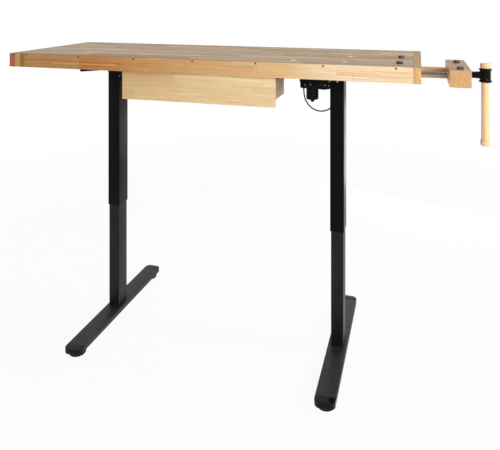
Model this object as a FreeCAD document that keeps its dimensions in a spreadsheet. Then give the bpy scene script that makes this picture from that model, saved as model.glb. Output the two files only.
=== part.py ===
import FreeCAD, Part
import math
import os
import re

import Sketcher

# A woodworking bench: an edge-glued worktop with a tail vise, bench dogs and a
# shallow drawer, carried by an electric two-column lifting frame.
# X runs along the bench to the vise, Y from the front to the back, Z up from the
# floor. Every depth called "d" below is measured down from the worktop's surface.
# Each place is given from the middle of the worktop's front edge, and place()
# moves it into the part's own frame.

SIZES = {
    # worktop
    "top_length": 1540, "top_depth": 530, "top_height": 1118,
    "rail_height": 52, "rail_width": 25, "core_thick": 20, "first_seam": 180, "second_seam": 350,
    "plug_dia": 7, "plug_pitch": 231, "plug_depth": 8, "plug_drop": 6,
    "dog_hole": 19, "dog_pitch": 178, "dog_end": 67, "dog_head": 24, "dog_tall": 9, "dog_shank": 38,
    "front_row": 80, "rear_row": 255, "back_row": 480,
    # lifting frame
    "leg_x": 470, "leg_y": 298, "frame_top": 52,
    "arm_width": 60, "arm_offset": 22, "arm_reach": 198, "arm_tip": 24.5, "arm_root": 32, "arm_wall": 2.5,
    "head_inward": 136.5, "head_outward": 26, "head_over": 20, "head_plate": 4, "head_lip": 12,
    "bar_reach": 462, "bar_depth": 20, "bar_height": 28, "bar_offset": 50,
    "outer_width": 52, "outer_depth": 72, "outer_wall": 1.5, "outer_end": 462, "glide_height": 60,
    "inner_width": 46, "inner_depth": 66, "inner_wall": 1.5, "inner_end": 620,
    "gear_bottom": 126, "gear_depth": 80, "gear_reach": 139,
    "motor_dia": 47, "motor_length": 47, "motor_offset": 99,
    "spindle_dia": 10, "spindle_end": 538, "spindle_top": 92,
    # feet
    "foot_length": 660, "foot_width": 70, "foot_top": 34, "foot_thick": 20,
    "cap_length": 34, "cap_corner": 21, "pad_dia": 62, "pad_inset": 42, "stud_dia": 10,
    # drawer
    "drawer_width": 584, "drawer_height": 104, "drawer_top": 54, "drawer_face": 28,
    "face_thick": 18, "side_thick": 12, "side_height": 80, "side_length": 135, "side_drop": 2,
    "side_inset": 5, "bottom_thick": 5, "bottom_rise": 8, "runner_width": 17, "runner_drop": 71,
    "runner_over": 12, "tongue": 7, "tongue_drop": 6, "slide_gap": 0.5,
    # tail vise
    "jaw_gap": 85.5, "jaw_width": 65, "jaw_front": 50, "jaw_length": 299, "jaw_height": 55,
    "jaw_top": 10.5, "jaw_ease": 1.2,
    "vise_y": 180, "screw_depth": 40, "screw_dia": 12, "screw_inside": 201.5,
    "beam_front": 14, "beam_depth": 36, "beam_height": 34.5, "beam_inside": 235.5, "beam_gap": 4,
    "hub_reach": 53.5, "hub_dia": 34, "hub_height": 45, "hub_rim": 3.5, "neck_dia": 24, "thrust_gap": 0.3,
    "rod_dia": 26, "handle_length": 273, "knob_dia": 32.5, "knob_height": 17, "end_knob": 21,
    # control box and the cable to it
    "case_x": 60, "case_y": 385, "case_length": 200, "case_width": 80, "case_height": 34,
    "cable_dia": 5, "gland_length": 5,
    # running clearance on the radius of a shaft in its bore, and what is broken off sharp edges
    "running": 0.05, "ease": 1,
    # the part's own frame, from the middle of the worktop's front edge
    "origin_x": 112.25, "origin_y": 298,
}

doc = FreeCAD.newDocument("workbench")
sheet = doc.addObject("Spreadsheet::Sheet", "Sizes")
for row, (alias, value) in enumerate(SIZES.items(), start=1):
    sheet.set(f"A{row}", alias)
    sheet.set(f"B{row}", str(value))
    sheet.setAlias(f"B{row}", alias)
doc.recompute()

nodes = []

X, Y, Z = FreeCAD.Vector(1, 0, 0), FreeCAD.Vector(0, 1, 0), FreeCAD.Vector(0, 0, 1)
# a rotation as (axis, degrees) that lays +Z along the named way
TO_X = (Y, 90)
TO_BACK = (X, -90)
TO_FRONT = (X, 90)


def size(alias):
    """A driving dimension, read back from the sheet."""
    return float(sheet.get(alias))


def bound(text):
    """An expression in which each alias is tied to its cell."""
    return re.sub(r"[a-z_]+", lambda word: "Sizes." + word.group(0)
                  if word.group(0) in SIZES else word.group(0), str(text))


def place(item, x, y, z, turn=None):
    """Put an object at a point given from the worktop's front edge and the floor."""
    if turn:
        item.Placement = FreeCAD.Placement(FreeCAD.Vector(), FreeCAD.Rotation(*turn))
    item.setExpression("Placement.Base.x", bound(f"({x}) - origin_x"))
    item.setExpression("Placement.Base.y", bound(f"({y}) - origin_y"))
    item.setExpression("Placement.Base.z", bound(z))
    return item


def node(item, label):
    """Name a finished sub-part."""
    item.Label = label
    nodes.append(item)
    return item


def depth(d):
    """The height of a depth below the worktop's surface."""
    return f"top_height - ({d})"


def box(name, x, y, z, length, width, height):
    made = doc.addObject("Part::Box", name)
    made.setExpression("Length", bound(length))
    made.setExpression("Width", bound(width))
    made.setExpression("Height", bound(height))
    return place(made, x, y, z)


def rod(name, x, y, z, radius, height, turn=None):
    """A cylinder from its lower end, along +Z unless it is turned."""
    made = doc.addObject("Part::Cylinder", name)
    made.setExpression("Radius", bound(radius))
    made.setExpression("Height", bound(height))
    return place(made, x, y, z, turn)


def fuse(name, items):
    made = doc.addObject("Part::MultiFuse", name)
    made.Shapes = items
    return made


def cut(name, base, tools):
    made = doc.addObject("Part::Cut", name)
    made.Base = base
    made.Tool = tools[0] if len(tools) == 1 else fuse(name + "_tools", tools)
    return made


def along(edge, way):
    """Whether a straight edge runs along an axis."""
    if edge.Curve.TypeId != "Part::GeomLine":
        return False
    return abs(edge.tangentAt(edge.FirstParameter).dot(way)) > 0.999


def soften(name, base, amount, way=None, kind="Part::Chamfer", keep=lambda edge: True):
    """Chamfer or fillet the base's straight edges, or only those along one axis."""
    doc.recompute()
    made = doc.addObject(kind, name)
    made.Base = base
    made.Edges = [
        (number, amount, amount)
        for number, edge in enumerate(base.Shape.Edges, start=1)
        if any(along(edge, axis) for axis in ((X, Y, Z) if way is None else (way,))) and keep(edge)
    ]
    return made


def origin_plane(body, role):
    return next(f for f in body.Origin.OriginFeatures if f.Role == role)


def new_body(name, x, y, z, turn=None):
    return place(doc.addObject("PartDesign::Body", name), x, y, z, turn)


def new_sketch(body, name, role="XY_Plane"):
    made = body.newObject("Sketcher::SketchObject", name)
    made.AttachmentSupport = [(origin_plane(body, role), "")]
    made.MapMode = "FlatFace"
    return made


def rectangle(sketch, width, height):
    """A rectangle centred on the sketch's origin, its sides tied to the sheet."""
    # any drawn size does: the two distances below set the real one
    corners = [FreeCAD.Vector(a, b, 0) for a, b in ((-9, -7), (9, -7), (9, 7), (-9, 7))]
    first = sketch.GeometryCount
    for i in range(4):
        sketch.addGeometry(Part.LineSegment(corners[i], corners[(i + 1) % 4]), False)
    for i in range(4):
        sketch.addConstraint(
            Sketcher.Constraint("Coincident", first + i, 2, first + (i + 1) % 4, 1))
    for i, way in enumerate(("Horizontal", "Vertical", "Horizontal", "Vertical")):
        sketch.addConstraint(Sketcher.Constraint(way, first + i))
    sketch.addConstraint(Sketcher.Constraint("Symmetric", first, 1, first + 1, 2, -1, 1))
    wide = sketch.addConstraint(Sketcher.Constraint("DistanceX", first, 1, first, 2, 18.0))
    tall = sketch.addConstraint(Sketcher.Constraint("DistanceY", first + 1, 1, first + 1, 2, 14.0))
    sketch.setExpression(f"Constraints[{wide}]", bound(width))
    sketch.setExpression(f"Constraints[{tall}]", bound(height))
    doc.recompute()
    return sketch


def outline(sketch, points):
    """A closed outline. A point of four numbers ends an arc through its last two."""
    vectors = [FreeCAD.Vector(p[0], p[1], 0) for p in points]
    for i, point in enumerate(points):
        if len(point) == 4:
            middle = FreeCAD.Vector(point[2], point[3], 0)
            edge = Part.Arc(vectors[i - 1], middle, vectors[i])
        else:
            edge = Part.LineSegment(vectors[i - 1], vectors[i])
        sketch.addGeometry(edge, False)
    doc.recompute()
    return sketch


def pad(body, sketch, length, name="pad", middle=False):
    made = body.newObject("PartDesign::Pad", name)
    made.Profile = sketch
    if middle:
        made.Midplane = True
    made.setExpression("Length", bound(length))
    doc.recompute()
    return made


def pocket(body, sketch, length, name="pocket", middle=False):
    """A pocket that has to take material away, whichever way the sketch faces."""
    before = body.Shape.Volume
    made = body.newObject("PartDesign::Pocket", name)
    made.Profile = sketch
    if middle:
        made.Midplane = True
    made.setExpression("Length", bound(length))
    doc.recompute()
    if not body.Shape.Volume < before - 1:
        made.Reversed = True
        doc.recompute()
    assert body.Shape.Volume < before - 1, name
    return made


def turned(name, x, y, z, points, turn=None):
    """A body turned about its own Z from a half profile of (radius, height)."""
    body = new_body(name, x, y, z, turn)
    sketch = outline(new_sketch(body, name + "_profile", "XZ_Plane"), points)
    made = body.newObject("PartDesign::Revolution", name + "_turned")
    made.Profile = sketch
    made.ReferenceAxis = (sketch, ["V_Axis"])
    made.Angle = 360
    doc.recompute()
    return body


def dress(body, kind, amount, wanted, name):
    """A fillet or chamfer on those edges of a body that a test picks."""
    doc.recompute()
    base = body.Tip
    names = [f"Edge{i}" for i, edge in enumerate(base.Shape.Edges, start=1) if wanted(edge)]
    assert names, name
    made = body.newObject("PartDesign::" + kind, name)
    made.Base = (base, names)
    if kind == "Fillet":
        made.Radius = amount
    else:
        made.Size = amount
    body.Tip = made
    doc.recompute()
    return made


# ---------------------------------------------------------------- worktop

def rail(name, y, outward):
    """A long rail, eased on every edge but the one that meets the core's surface."""
    bar = box(name + "_rail_bar", "-top_length / 2 + rail_width", y, depth("rail_height"),
              "top_length - 2 * rail_width", "rail_width", "rail_height")

    def free(edge):
        middle, spot = bar.Shape.BoundBox.Center, edge.CenterOfMass
        return spot.z < middle.z or outward * (spot.y - middle.y) > 0

    return soften(name + "_rail_eased", bar, size("ease"), X, keep=free)


def worktop():
    # front rail with the blind holes that hold its plugs
    holes, plugs = [], []
    for k in range(-3, 4):
        x, z = f"{k} * plug_pitch", depth("plug_drop")
        holes.append(rod(f"plug_hole_{k + 4}", x, "0", z, "plug_dia / 2", "plug_depth", TO_BACK))
        plugs.append(rod(f"plug_{k + 4}", x, "0", z, "plug_dia / 2 - running", "plug_depth", TO_BACK))
    node(cut("front_rail_cut", rail("front", "0", -1), holes), "front_rail")
    node(fuse("rail_plug_group", plugs), "rail_plugs")
    node(rail("rear", "top_depth - rail_width", 1), "rear_rail")

    # end caps: the left one is whole, the right one lets the vise through
    beam_slack, screw_slack = 0.5, 1
    for label, x in (("left_end_cap", "-top_length / 2"), ("right_end_cap", "top_length / 2 - rail_width")):
        bar = box(label + "_bar", x, "0", depth("rail_height"), "rail_width", "top_depth", "rail_height")
        cap = soften(label + "_eased", bar, size("ease"), Y)
        if label == "right_end_cap":
            way = box("beam_way", x + " - 1", f"vise_y + beam_front - {beam_slack}",
                      depth("rail_height + 1"), "rail_width + 2", f"beam_depth + 2 * {beam_slack}",
                      "rail_height - core_thick + 1")
            bore = rod("screw_way", x + " - 1", "vise_y", depth("screw_depth"),
                       f"screw_dia / 2 + {screw_slack}", "rail_width + 2", TO_X)
            cap = cut("right_end_cap_cut", cap, [way, bore])
        node(cap, label)

    # the core is glued up from three boards, which the dog holes go through
    first = "top_length / 2 - dog_end"
    boards = (
        ("front_board", "rail_width", "first_seam", "front_row", (0, 1, 2)),
        ("middle_board", "first_seam", "second_seam", "rear_row", (0, 1)),
        ("back_board", "second_seam", "top_depth - rail_width", "back_row", (2,)),
    )
    for label, low, high, row, places in boards:
        board = box(label + "_blank", "-top_length / 2 + rail_width", low, depth("core_thick"),
                    "top_length - 2 * rail_width", f"({high}) - ({low})", "core_thick")
        bores = [rod(f"{label}_bore_{k}", f"{first} - {k} * dog_pitch", row, depth("core_thick + 1"),
                     "dog_hole / 2", "core_thick + 2") for k in places]
        node(cut(label + "_cut", board, bores), label)


def dog(label, x, y, top, flat):
    """A round bench dog: a shank, a wider head and a flat on the side that grips."""
    shank, head = size("dog_hole") / 2 - size("running"), size("dog_head") / 2
    tall, long = size("dog_tall"), size("dog_shank")
    edge, sill = 1.5, 2
    body = turned(label, x, y, top, [
        (0, -long), (shank - edge, -long), (shank, edge - long), (shank, 0), (head, 0),
        (head, tall - edge), (head - edge, tall), (0, tall)])
    grip, beyond = flat * size("dog_hole") / 2, flat * 2 * head
    side = new_sketch(body, label + "_flat", "XZ_Plane")
    outline(side, [(grip, sill), (beyond, sill), (beyond, 2 * tall), (grip, 2 * tall)])
    pocket(body, side, "2 * dog_head", label + "_flat_cut", middle=True)
    node(body, label)


# ---------------------------------------------------------- lifting frame

def arm(label, side):
    """A pressed channel, open below, whose flanges deepen from its tips to the leg."""
    reach, tip, root, wall = size("arm_reach"), size("arm_tip"), size("arm_root"), size("arm_wall")
    corner, level = 4, 66
    body = new_body(label, f"{side} * (leg_x + arm_offset)", "leg_y", depth("frame_top"))
    flange = new_sketch(body, label + "_side", "YZ_Plane")
    outline(flange, [
        (-reach, 0), (-reach, corner - tip), (corner - reach, -tip), (-level, -root), (level, -root),
        (reach - corner, -tip), (reach, corner - tip), (reach, 0)])
    pad(body, flange, "arm_width", label + "_pad", middle=True)
    hollow = new_sketch(body, label + "_hollow", "XZ_Plane")
    half = size("arm_width") / 2 - wall
    outline(hollow, [(-half, -wall), (-half, -root - 1), (half, -root - 1), (half, -wall)])
    pocket(body, hollow, "2 * arm_reach + 2", label + "_hollow_cut", middle=True)
    node(body, label)


def head_bracket(hand, side):
    """A plate over the gear housing with a lip turned down along its front and back."""
    half = size("gear_depth") / 2 + size("head_over")
    plate, low, bend = size("head_plate"), size("head_plate") + size("head_lip"), 3
    middle = bend * (1 - math.sqrt(0.5))
    body = new_body(hand + "_head", f"{side} * (leg_x - (head_inward - head_outward) / 2)", "leg_y",
                    depth("frame_top + arm_root"))
    section = new_sketch(body, hand + "_head_section", "YZ_Plane")
    outline(section, [
        (-half, -low), (-half, -bend), (bend - half, 0, middle - half, -middle), (half - bend, 0),
        (half, -bend, half - middle, -middle), (half, -low), (half - bend, -low), (half - bend, -plate),
        (bend - half, -plate), (bend - half, -low)])
    pad(body, section, "head_inward + head_outward", hand + "_head_pad", middle=True)
    node(body, hand + "_head_bracket")


def frame():
    for side, hand in ((-1, "left"), (1, "right")):
        spacer = box(hand + "_spacer_bar", f"{side} * (leg_x + arm_offset) - arm_width / 2",
                     "leg_y - arm_reach", depth("frame_top"), "arm_width", "2 * arm_reach",
                     "frame_top - core_thick")
        node(soften(hand + "_spacer_eased", spacer, 1.5 * size("ease"), Z), hand + "_spacer")
        arm(hand + "_arm", side)
        head_bracket(hand, side)
        column(hand, f"{side} * leg_x")
        drive(hand, side)

    bars = []
    for way in (-1, 1):
        bars.append(box(f"crossbar_{way + 1}", "-bar_reach", f"leg_y + {way} * bar_offset - bar_depth / 2",
                        depth("frame_top + arm_root"), "2 * bar_reach", "bar_depth", "bar_height"))
    node(fuse("crossbar_pair", bars), "crossbars")


def column(hand, leg):
    """The outer tube under the head bracket and its drive spindle."""
    body = new_body(hand + "_outer", leg, "leg_y", "outer_end")
    outside = new_sketch(body, hand + "_outer_outside")
    pad(body, rectangle(outside, "outer_width", "outer_depth"),
        "top_height - frame_top - arm_root - head_plate - outer_end", hand + "_outer_pad")
    dress(body, "Fillet", 3.0, lambda edge: along(edge, Z), hand + "_outer_round")
    inside = rectangle(new_sketch(body, hand + "_outer_inside"), "outer_width - 2 * outer_wall",
                       "outer_depth - 2 * outer_wall")
    pocket(body, inside, "2 * top_height", hand + "_outer_bore", middle=True)
    node(body, hand + "_outer_tube")

    r, point = size("spindle_dia") / 2, 1.5
    long = size("top_height") - size("spindle_top") - size("spindle_end")
    spindle = turned(hand + "_spindle_bar", leg, "leg_y", "spindle_end", [
        (0, 0), (r - point, 0), (r, point), (r, long), (0, long)])
    node(spindle, hand + "_spindle")


def drive(hand, side):
    """The gear housing against the column's inner side, and the motor below it."""
    top = size("frame_top") + size("arm_root") + size("head_plate")
    near, far = size("outer_width") / 2, size("gear_reach")
    tall, corner = size("gear_bottom") - top, 5.5
    s = -side
    body = new_body(hand + "_gear", f"{side} * leg_x", "leg_y", depth(top))
    belly = new_sketch(body, hand + "_gear_outline", "XZ_Plane")
    # the underside bellies beside the leg, is flat over the motor and has a rounded end
    lowest, flat_from, sag, rise = 52, 75, 2.8, 1.5
    bend = corner * (1 - math.sqrt(0.5))
    outline(belly, [
        (s * near, 0), (s * near, rise - tall),
        (s * flat_from, -tall, s * lowest, -sag - tall),
        (s * (far - corner), -tall), (s * far, corner - tall, s * (far - bend), bend - tall),
        (s * far, 0)])
    pad(body, belly, "gear_depth", hand + "_gear_pad", middle=True)
    dress(body, "Chamfer", 2.0, lambda edge: along(edge, Z) and abs(edge.CenterOfMass.x) > far - 1,
          hand + "_gear_edge")
    node(body, hand + "_gear_housing")

    r, long = size("motor_dia") / 2, size("motor_length")
    edge, boss, boss_tall = 4, 9, 10.5
    motor = turned(hand + "_motor_can", f"{side} * (leg_x - motor_offset)", "leg_y",
                   depth("gear_bottom"), [
                       (0, 0), (r, 0), (r, edge - long), (r - 1.2, 1.2 - long), (r - edge, -long),
                       (boss, -long), (boss - 1, -long - 4), (boss - 5, -long - boss_tall),
                       (0, -long - boss_tall)])
    node(motor, hand + "_motor")


def frame_fixings():
    """Four screws in each gear housing's front and a bolt in one lip of each bracket."""
    # each screw as (distance inward from the leg, depth below the worktop)
    housing_screws = ((30, 112), (45, 111), (99.5, 111), (120, 112))
    screws, bolts = [], []
    for side in (-1, 1):
        for number, (inward, d) in enumerate(housing_screws, start=1):
            screws.append(rod(f"housing_screw_{side + 1}_{number}", f"{side} * (leg_x - {inward})",
                              "leg_y - gear_depth / 2", depth(d), "3.2", "1.8", TO_FRONT))
    # the same bracket is turned round for the left leg, so its bolt is in the back lip
    bolt_out, bolt_drop = 5.5, 7.5
    for side, turn in ((-1, TO_BACK), (1, TO_FRONT)):
        bolts.append(rod(f"lip_bolt_{side + 1}", f"{side} * (leg_x + {bolt_out})",
                         f"leg_y - {side} * (gear_depth / 2 + head_over)",
                         depth(f"frame_top + arm_root + {bolt_drop}"), "4.5", "4", turn))
    node(fuse("housing_screw_group", screws), "housing_screws")
    node(fuse("lip_bolt_group", bolts), "bracket_bolts")


def glides():
    """The plastic liners at the lower end of each outer tube."""
    made = []
    for side, hand in ((-1, "left"), (1, "right")):
        sleeves = []
        for face, gap in (("outside", "running"), ("inside", "1.2")):
            sleeves.append(box(f"{hand}_glide_{face}",
                               f"{side} * leg_x - outer_width / 2 + outer_wall + {gap}",
                               f"leg_y - outer_depth / 2 + outer_wall + {gap}", "outer_end",
                               f"outer_width - 2 * outer_wall - 2 * {gap}",
                               f"outer_depth - 2 * outer_wall - 2 * {gap}", "glide_height"))
        made.append(cut(hand + "_glide", sleeves[0], [sleeves[1]]))
    node(fuse("glide_pair", made), "column_glides")


# -------------------------------------------------------------------- feet

def foot(hand, leg):
    """A flat steel bar, bored from below for the pads' studs, with a moulded cap on each end."""
    bar, base = "foot_length - 2 * cap_length", "foot_top - foot_thick"
    roof, round_edge = 3, 2.5
    body = new_body(hand + "_foot_bar", leg, "leg_y", base)
    pad(body, rectangle(new_sketch(body, hand + "_foot_outline"), "foot_width", bar), "foot_thick",
        hand + "_foot_pad")
    dress(body, "Fillet", round_edge, lambda edge: along(edge, Y), hand + "_foot_round")
    bores = new_sketch(body, hand + "_foot_bores")
    for way in (-1, 1):
        centre = FreeCAD.Vector(0, way * (size("foot_length") / 2 - size("pad_inset")), 0)
        bores.addGeometry(Part.Circle(centre, Z, size("stud_dia") / 2 + size("running")), False)
    doc.recompute()
    pocket(body, bores, f"foot_thick - {roof}", hand + "_foot_bore_cut")
    node(body, hand + "_foot")

    caps = []
    for way in (-1, 1):
        name = f"{hand}_cap_{way + 1}"
        end = new_body(name, leg, f"leg_y + {way} * ({bar}) / 2", base)
        w, c, r = size("foot_width") / 2, size("cap_length"), size("cap_corner")
        k = r * (1 - math.sqrt(0.5))
        plan = outline(new_sketch(end, name + "_outline"), [
            (-w, 0), (-w, way * (c - r)), (r - w, way * c, k - w, way * (c - k)), (w - r, way * c),
            (w, way * (c - r), w - k, way * (c - k)), (w, 0)])
        pad(end, plan, "foot_thick", name + "_pad")
        top = size("foot_thick") - 0.01
        dress(end, "Chamfer", 0.8 * round_edge,
              lambda edge: edge.BoundBox.ZMin > top and abs(edge.CenterOfMass.y) > 0.5, name + "_edge")
        caps.append(end)
    node(fuse(hand + "_caps", caps), hand + "_foot_caps")


def base(hand, side):
    """One leg's lower half: its foot, the inner tube with the spindle's nut, and two pads."""
    leg = f"{side} * leg_x"
    foot(hand, leg)

    tube = new_body(hand + "_inner", leg, "leg_y", "foot_top")
    outside = new_sketch(tube, hand + "_inner_outside")
    pad(tube, rectangle(outside, "inner_width", "inner_depth"), "inner_end - foot_top", hand + "_inner_pad")
    dress(tube, "Fillet", 2.5, lambda edge: along(edge, Z), hand + "_inner_round")
    inside = rectangle(new_sketch(tube, hand + "_inner_inside"), "inner_width - 2 * inner_wall",
                       "inner_depth - 2 * inner_wall")
    pocket(tube, inside, "2 * top_height", hand + "_inner_bore", middle=True)
    node(tube, hand + "_inner_tube")

    slack, tall, below = 0.1, 20, 2
    block = box(hand + "_nut_block", f"{leg} - inner_width / 2 + inner_wall + {slack}",
                f"leg_y - inner_depth / 2 + inner_wall + {slack}", f"inner_end - {tall + below}",
                f"inner_width - 2 * inner_wall - 2 * {slack}",
                f"inner_depth - 2 * inner_wall - 2 * {slack}", str(tall))
    bore = rod(hand + "_nut_bore", leg, "leg_y", f"inner_end - {2 * tall}", "spindle_dia / 2 + running",
               str(3 * tall))
    node(cut(hand + "_nut", block, [bore]), hand + "_spindle_nut")

    r, stud, under = size("pad_dia") / 2, size("stud_dia") / 2, size("foot_top") - size("foot_thick")
    gap, thread, collar = 0.3, 15, 12
    for way, end in ((-1, "front"), (1, "back")):
        y = f"leg_y + {way} * (foot_length / 2 - pad_inset)"
        made = turned(f"{hand}_{end}_pad_turned", leg, y, "0", [
            (0, 0), (r - 1, 0), (r, 1), (r, 7), (r - 2, 10), (r - 6, 11), (collar, 12),
            (collar, under - gap), (stud, under - gap), (stud, under + thread), (0, under + thread)])
        node(made, f"{hand}_{end}_pad")


# ------------------------------------------------------------------ drawer

def drawer():
    face = new_body("drawer_face_board", "0", "drawer_face", depth("drawer_top + drawer_height / 2"))
    shape = new_sketch(face, "drawer_face_outline", "XZ_Plane")
    board = pad(face, rectangle(shape, "drawer_width", "drawer_height"), "face_thick", "drawer_face_pad")
    board.Reversed = True
    dress(face, "Chamfer", size("ease"), lambda edge: edge.BoundBox.YMax < size("face_thick") / 2,
          "drawer_face_eased")
    node(face, "drawer_front")

    back_of_face = "drawer_face + face_thick"
    outside = "drawer_width / 2 - side_inset"
    low = depth("drawer_top + side_drop + side_height")
    for side, hand in ((-1, "left"), (1, "right")):
        # a piece on the left starts from its far face, because a box is placed by its low corner
        x = outside + " - side_thick" if side > 0 else f"-({outside})"
        tongue_x = outside if side > 0 else f"-({outside}) - tongue + slide_gap"
        board = box(hand + "_side_board", x, back_of_face, low, "side_thick", "side_length", "side_height")
        tongue = box(hand + "_tongue", tongue_x, back_of_face, depth("drawer_top + tongue_drop + tongue"),
                     "tongue - slide_gap", "side_length", "tongue")
        node(fuse(hand + "_side", [board, tongue]), f"drawer_{hand}_side")

    inner = "(drawer_width - 2 * side_inset - 2 * side_thick)"
    node(box("back_board_strip", f"-{inner} / 2", f"{back_of_face} + side_length - side_thick", low, inner,
             "side_thick", "side_height"), "drawer_back")
    node(box("bottom_sheet", f"-{inner} / 2", back_of_face,
             depth("drawer_top + side_height - bottom_rise + bottom_thick"), inner,
             "side_length - side_thick", "bottom_thick"), "drawer_bottom")

    # runners hang from the core, each with a groove for the drawer's tongue
    near = "(drawer_width / 2 - side_inset + slide_gap)"
    for side, hand in ((-1, "left"), (1, "right")):
        x = near if side > 0 else f"-{near} - runner_width"
        groove_x = f"{near} - 1" if side > 0 else f"-{near} - tongue - slide_gap"
        block = box(hand + "_runner_block", x, back_of_face + " + slide_gap", depth("runner_drop"),
                    "runner_width", "side_length + runner_over", "runner_drop - core_thick")
        groove = box(hand + "_groove", groove_x, back_of_face + " - 1",
                     depth("drawer_top + tongue_drop + tongue + slide_gap"), "tongue + slide_gap + 1",
                     "side_length + 2 * runner_over", "tongue + 2 * slide_gap")
        node(cut(hand + "_runner", block, [groove]), hand + "_drawer_runner")


# --------------------------------------------------------------- tail vise

def jaw():
    """The jaw block, bored for the screw, its ring and two dogs, and the beam glued into it."""
    face, axis = "top_length / 2 + jaw_gap", depth("screw_depth")
    block = box("jaw_blank", face, "jaw_front", depth("jaw_top + jaw_height"), "jaw_width",
                "jaw_length", "jaw_height")
    eased = soften("jaw_eased", block, size("jaw_ease"))
    bores = [
        rod("jaw_screw_bore", face + " - 1", "vise_y", axis, "screw_dia / 2 + running",
            "jaw_width + 2", TO_X),
        rod("jaw_ring_bore", face + " - 1", "vise_y", axis, "neck_dia / 2 + 1", "10", TO_X),
    ]
    for row in ("front_row", "rear_row"):
        bores.append(rod("jaw_" + row, face + " + jaw_width / 2", row, depth("jaw_top + jaw_height + 1"),
                         "dog_hole / 2", "jaw_height + 2"))
    node(cut("jaw_bored", eased, bores), "jaw_block")

    beam = box("beam_bar", face + " - beam_inside", "vise_y + beam_front",
               depth("core_thick + beam_gap + beam_height"), "beam_inside", "beam_depth", "beam_height")
    node(soften("beam_eased", beam, 1.5 * size("ease"), X), "guide_beam")


def screw():
    """The screw, with the ring that holds it in the jaw, and its steel nut behind the end cap."""
    axis = depth("screw_depth")
    r, ring = size("screw_dia") / 2, size("neck_dia") / 2
    inside, outside, point = size("screw_inside"), size("jaw_width") + size("thrust_gap"), 1.5
    ring_from, ring_to = 1, 7.5
    bar = turned("screw_turned", "top_length / 2 + jaw_gap", "vise_y", axis, [
        (0, -inside), (r - point, -inside), (r, point - inside), (r, ring_from), (ring, ring_from),
        (ring, ring_to), (r, ring_to), (r, outside), (0, outside)], TO_X)
    node(bar, "vise_screw")

    # the nut is a flange on the end cap's inner face and the block that the screw turns in
    wall, plate, long, wide, tall = "(top_length / 2 - rail_width)", 4, 20, 24, 22
    flange = box("nut_flange", f"{wall} - {plate}", "vise_y - 30", depth("rail_height - 2"), str(plate), "42",
                 "rail_height - core_thick - 4")
    block = box("nut_body", f"{wall} - {plate + long}", f"vise_y - {wide} / 2",
                depth(f"screw_depth + {tall} / 2"), str(long), str(wide), str(tall))
    bore = rod("nut_bore", f"{wall} - {2 * long}", "vise_y", axis, "screw_dia / 2 + running", str(3 * long),
               TO_X)
    node(cut("nut_bored", fuse("nut_blank", [flange, block]), [bore]), "vise_nut")


def keeper():
    """The bent strap under the core that carries the beam, with a screwed foot each side."""
    long, thick, foot_wide, bend, slack = 40, 3, 14, 2, 0.5
    fall = size("beam_gap") + size("beam_height") + slack
    left, right = -18, size("beam_front") + size("beam_depth") + slack
    body = new_body("keeper_strap", "top_length / 2 - rail_width - 85", "vise_y", depth("core_thick"))
    low, cut_in = -fall - thick, 0.3 * bend
    section = outline(new_sketch(body, "keeper_section", "YZ_Plane"), [
        (left - foot_wide, 0), (left - foot_wide, -thick), (left - thick, -thick), (left - thick, low + bend),
        (left - thick + bend, low, left - thick + cut_in, low + cut_in), (right + thick - bend, low),
        (right + thick, low + bend, right + thick - cut_in, low + cut_in), (right + thick, -thick),
        (right + foot_wide, -thick), (right + foot_wide, 0), (right, 0), (right, -fall), (left, -fall),
        (left, 0)])
    pad(body, section, str(long), "keeper_pad")
    node(body, "beam_keeper")


# the axis that the handle slides along
HUB_X = "top_length / 2 + jaw_gap + jaw_width + hub_reach"


def hub():
    """The cast spool that the handle slides through, with the neck that joins the screw."""
    half, waist = size("hub_height") / 2, size("hub_dia") / 2
    rim, bore, edge = waist + size("hub_rim"), size("rod_dia") / 2 + size("running"), 0.8
    # up one side of the spool: a square rim that falls away to the waist in two cones
    flare = [(rim - edge, half), (rim, half - edge), (rim, half - 3), (waist + 1.1, half - 4.6),
             (waist, half - 8)]
    body = turned("hub_turned", HUB_X, "vise_y", depth("screw_depth"),
                  [(bore, -half)] + [(r, -z) for r, z in flare] + flare[::-1] + [(bore, half)])
    section = new_sketch(body, "neck_section", "YZ_Plane")
    section.addGeometry(Part.Circle(FreeCAD.Vector(), Z, size("neck_dia") / 2), False)
    neck = pad(body, section, "hub_reach - thrust_gap", "neck_pad")
    neck.Reversed = True
    doc.recompute()
    way = new_sketch(body, "handle_way", "XY_Plane")
    way.addGeometry(Part.Circle(FreeCAD.Vector(), Z, bore), False)
    pocket(body, way, "2 * hub_height", "handle_way_cut", middle=True)
    node(body, "screw_hub")


def handle():
    """The turned handle hangs by its upper knob, which rests on the hub."""
    r, knob, tall, end = size("rod_dia") / 2, size("knob_dia") / 2, size("knob_height"), size("end_knob")
    long = size("handle_length") - tall
    edge = 3
    rest = depth("screw_depth") + " + hub_height / 2 + thrust_gap"
    bar = turned("handle_turned", HUB_X, "vise_y", rest, [
        (0, end - long), (r, end - long), (r, 0), (knob - 2, 0), (knob, 2), (knob, tall - edge),
        (knob - 0.9, tall - 0.9), (knob - edge, tall), (0, tall)])
    node(bar, "handle_rod")
    end_knob = turned("end_knob_turned", HUB_X, "vise_y", f"{rest} - {long}", [
        (0, 0), (knob - edge, 0), (knob - 0.9, 0.9), (knob, edge), (knob, end - edge),
        (knob - 0.9, end - 0.9), (knob - edge, end), (0, end)])
    node(end_knob, "handle_end_knob")


# ------------------------------------------------------- control and cable

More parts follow.
